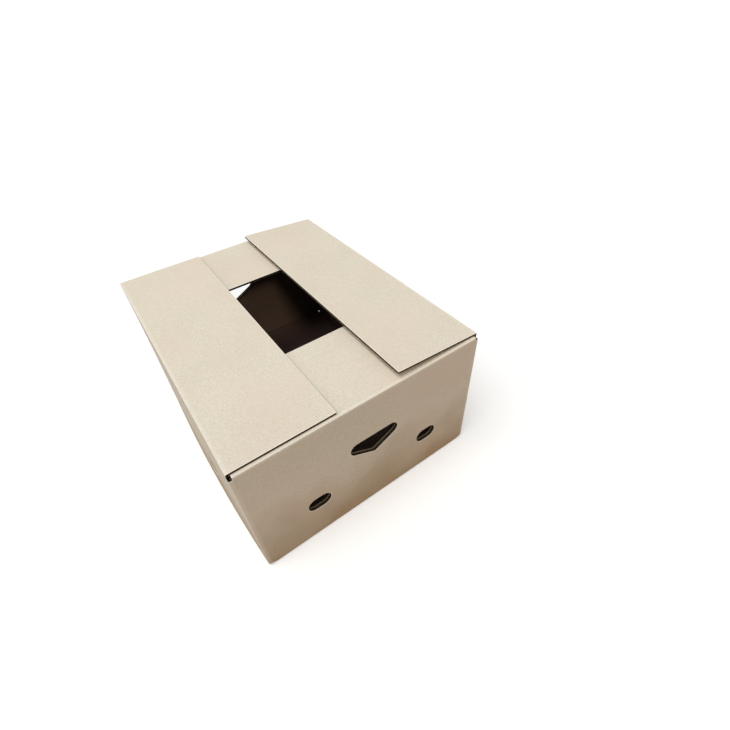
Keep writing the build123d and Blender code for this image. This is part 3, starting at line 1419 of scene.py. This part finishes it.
@dataclass
class SideFlap:
    """One long flap of the lid, hinged over a side wall."""

    carton: Carton
    side: Side
    lift: float = 0.0
    end_margin: float = 5 * MM
    crease_top: float = 0.3 * MM
    crease_bottom: float = 1.6 * MM
    crease_crisp: float = 40.0

    @property
    def word(self) -> str:
        """The side's name as the pieces and bodies give it."""
        return self.side.name.lower()

    @property
    def fold(self) -> Fold:
        """The fold between the wall and the flap."""
        thick = self.carton.board.thickness
        return Fold(self.carton.closed_height, End.TOP, thick, thick)

    @property
    def root(self) -> Vector:
        """The middle of the line about which the flap turns."""
        return Vector((self.side.value * self.carton.lid_width / 2, 0.0, self.fold.level))

    def place(self, u: float, v: float, w: float) -> Vector:
        """Sets a place on the flap's blank over the carton.

        Args:
            u: its distance along the crease.
            v: its height on the blank.
            w: its depth in the board.

        Returns:
            Where it ends up.
        """
        side = self.side.value
        depth, height = self.fold.at(v, w)
        inward = Vector((-side * math.cos(self.lift), 0.0, math.sin(self.lift)))
        up = Vector((side * math.sin(self.lift), 0.0, math.cos(self.lift)))
        return self.root + inward * depth + up * (height - self.fold.level) + Vector((0.0, side * u, 0.0))

    def fold_shading(self, _: float, v: float) -> float:
        """How strongly the painted fold highlight covers a height on the blank, by the root's fold, 0 to 1.
        """
        return fold_shading_cover([v - self.fold.crease - self.fold.arc])

    def build(self, finishes: Finishes) -> bpy.types.Object:
        """Builds and dresses the flap, with open edges on its three cut sides.

        Args:
            finishes: its materials.

        Returns:
            The flap.
        """
        carton, fold = self.carton, self.fold
        half = carton.flap_length / 2
        free = fold.reach((carton.lid_width - carton.opening_width) / 2)
        outline = [(-half, fold.crease), (half, fold.crease), (half, free), (-half, free)]
        columns = evenly(-half + self.end_margin, half - self.end_margin, COLUMN_STEP)
        rows = [*fold.rows()[2:], *evenly(fold.level + ROW_MARGIN, free - ROW_MARGIN, ROW_STEP)]
        sheet = Sheet(f"{self.word}_flap_sheet", carton.board, self.place, self.fold_shading, outline, [],
                      columns, rows, [fold.crease])
        return settle(sheet.build(), f"{self.word}_flap", f"lid_flap_{self.word}", finishes)

    def build_crease(self, finishes: Finishes) -> bpy.types.Object:
        """Builds and dresses the folded liner inside the crease.

        Args:
            finishes: its materials.

        Returns:
            The crease.
        """
        solid = BoardMesh()
        half = self.carton.flap_length / 2 - FOLD_MARGIN
        rings = [self._crease_ring(solid, y) for y in [-half, *evenly(-half, half, COLUMN_STEP), half]]
        for one, two in zip(rings, rings[1:]):
            for number in range(len(one)):
                after = (number + 1) % len(one)
                solid.face((one[number], one[after], two[after], two[number]), Face.OUTSIDE)
        solid.face(rings[0], Face.OUTSIDE)
        solid.face(rings[-1][::-1], Face.OUTSIDE)
        bmesh.ops.recalc_face_normals(solid.mesh, faces=solid.mesh.faces[:])
        crease = solid.finished(f"{self.word}_flap_sheet_crease", self.crease_crisp)
        finishes.dress(crease)
        thick = self.carton.board.thickness
        start = self.root - Vector((0.0, 0.0, thick))
        end = self.root - Vector((self.side.value * thick, 0.0, 0.0))
        f"{self.word}_flap"
        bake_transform(crease)
        return crease

    def _crease_ring(self, solid: BoardMesh, y: float) -> list[bmesh.types.BMVert]:
        """Adds one section of the crease, out along its top and back along its bottom.

        Args:
            solid: the mesh in the making.
            y: where the section lies along the carton.

        Returns:
            The section's points.
        """
        side, thick = self.side.value, self.carton.board.thickness
        out = [(part / FOLD_STEPS, self.crease_top) for part in range(FOLD_STEPS + 1)]
        back = [(part / FOLD_STEPS, self.crease_bottom) for part in range(FOLD_STEPS, -1, -1)]
        ring = []
        for share, depth in out + back:
            angle = QUARTER_TURN * share
            inward = thick - (thick - depth) * math.cos(angle)
            rise = (thick - depth) * math.sin(angle) - thick
            spot = Vector((self.root.x - side * inward, y, self.root.z + rise))
            flat = (side * y, self.fold.crease + self.fold.arc * share, depth)
            # The whole crease takes the full painted fold highlight.
            ring.append(solid.point(spot, flat, (0.0, 1.0, 0.0)))
        return ring


@dataclass(frozen=True)
class Lamp:
    """One broad, even light from far away.

    The way points from the carton to the lamp, and the spread is how broad the lamp looks
    from there, in degrees.
    """

    name: str
    way: Triple
    spread: float
    strength: float
    tint: Colour

    def build(self) -> None:
        """Hangs the lamp in the scene."""
        lamp = bpy.data.lights.new(self.name, "SUN")
        lamp.angle = math.radians(self.spread)
        lamp.energy = self.strength
        lamp.color = self.tint
        holder = bpy.data.objects.new(self.name, lamp)
        holder.rotation_euler = (-Vector(self.way)).to_track_quat("-Z", "Y").to_euler()
        bpy.context.scene.collection.objects.link(holder)


@dataclass(frozen=True)
class Camera:
    """The camera, where the photograph was taken from; its turns are in degrees."""

    place: Triple = (-0.2062, -0.5606, 0.6628)
    turn: float = 33.25
    dip: float = 44.0
    roll: float = -3.48
    focal_pixels: float = 424.7
    frame_pixels: int = 730
    sensor: float = 36.0
    clip_start: float = 0.01

    def build(self) -> None:
        """Sets up the camera and looks through it."""
        lens = bpy.data.cameras.new("camera")
        lens.sensor_width = self.sensor
        lens.lens = self.focal_pixels / self.frame_pixels * self.sensor
        lens.clip_start = self.clip_start
        camera = bpy.data.objects.new("camera", lens)
        turn = Matrix.Rotation(-math.radians(self.turn), 4, "Z")
        dip = Matrix.Rotation(QUARTER_TURN - math.radians(self.dip), 4, "X")
        roll = Matrix.Rotation(math.radians(self.roll), 4, "Z")
        camera.matrix_world = Matrix.Translation(self.place) @ turn @ dip @ roll
        bpy.context.scene.collection.objects.link(camera)
        bpy.context.scene.camera = camera


@dataclass(frozen=True)
class Studio:
    """The pale floor, the even sky, the soft lamps and the camera."""

    floor_half: float = 40.0
    floor_white: Colour = (0.92, 0.92, 0.92)
    floor_glow: float = 0.2
    floor_bounce: Colour = (0.22, 0.14, 0.08)
    sky: Colour = (0.97, 0.98, 1.0)
    sky_strength: float = 0.345
    white: Colour = (1.0, 1.0, 1.0)
    lamps: tuple[Lamp, ...] = (
        Lamp("key_lamp", (-0.40, -0.06, 1.0), 45.0, 1.62, (1.0, 1.0, 0.99)),
        Lamp("near_lamp", (-0.3, -1.3, 1.0), 8.0, 0.62, (1.0, 0.88, 0.72)),
        Lamp("side_lamp", (-1.0, 0.3, 0.25), 50.0, 0.35, (0.86, 1.0, 1.0)),
    )
    camera: Camera = Camera()

    def build(self) -> None:
        """Sets up floor, light and camera."""
        self._add_floor()
        self._add_world()
        for lamp in self.lamps:
            lamp.build()
        self.camera.build()
        bpy.context.scene.view_settings.view_transform = "Standard"

    def _add_floor(self) -> None:
        """A wide plain floor that looks white and throws back a warm, dim light."""
        half = self.floor_half
        mesh = bpy.data.meshes.new("floor")
        corners = [(-half, -half, 0), (half, -half, 0), (half, half, 0), (-half, half, 0)]
        mesh.from_pydata(corners, [], [(0, 1, 2, 3)])
        floor = bpy.data.objects.new("floor", mesh)
        bpy.context.scene.collection.objects.link(floor)
        graph = Graph(bpy.data.materials.new("floor_paper"))
        dull = graph.node("ShaderNodeBsdfDiffuse", {}, {"Color": (*self.floor_bounce, 1.0)})
        pale = graph.node("ShaderNodeBsdfDiffuse", {}, {"Color": (*self.floor_white, 1.0)})
        shine = {"Color": (*self.white, 1.0), "Strength": self.floor_glow}
        glow = graph.node("ShaderNodeEmission", {}, shine)
        lit = graph.node("ShaderNodeAddShader", {}, {0: pale.outputs[0], 1: glow.outputs[0]})
        ends = {1: dull.outputs[0], 2: lit.outputs[0]}
        shown = graph.node("ShaderNodeMixShader", {}, {0: graph.seen(), **ends})
        graph.node("ShaderNodeOutputMaterial", {}, {"Surface": shown.outputs[0]})
        mesh.materials.append(graph.owner)

    def _add_world(self) -> None:
        """Even soft light all round, with a white backdrop where it is seen."""
        world = bpy.data.worlds.new("studio")
        bpy.context.scene.world = world
        graph = Graph(world)
        light = {"Color": (*self.sky, 1.0), "Strength": self.sky_strength}
        soft = graph.node("ShaderNodeBackground", {}, light)
        white = graph.node("ShaderNodeBackground", {}, {"Color": (*self.white, 1.0)})
        ends = {1: soft.outputs[0], 2: white.outputs[0]}
        shown = graph.node("ShaderNodeMixShader", {}, {0: graph.seen(), **ends})
        graph.node("ShaderNodeOutputWorld", {}, {"Surface": shown.outputs[0]})


def rest_lift(joint: str) -> float:
    """How far a flap stands open at rest, in radians: what is left of its joint below rest."""
    return -math.radians(next(row for row in frame["joints"] if row["name"] == joint)["range_deg"][0])


def main() -> None:
    """Builds and dresses every piece of the carton, then the studio round it."""
    logging.basicConfig(level=logging.INFO, format="%(message)s")
    carton = Carton.measured()
    cut_outs = CutOuts(carton.closed_height)
    finishes = board_finishes(carton.board.pitch)
    flaps = [SideFlap(carton, Side.LEFT), SideFlap(carton, Side.RIGHT, rest_lift("right_flap_fold"))]
    pieces = [
        Tray.of(carton).build(cut_outs, finishes[Stock.TRAY]),
        Lid.of(carton).build(cut_outs, finishes[Stock.LID]),
        *(flap.build(finishes[Stock.FLAP]) for flap in flaps),
        *(flap.build_crease(finishes[Stock.FLAP]) for flap in flaps),
    ]
    for piece in pieces:
        log.info("%s: %d faces", piece.name, len(piece.data.polygons))
    Studio().build()


if __name__ == "__main__":
    main()
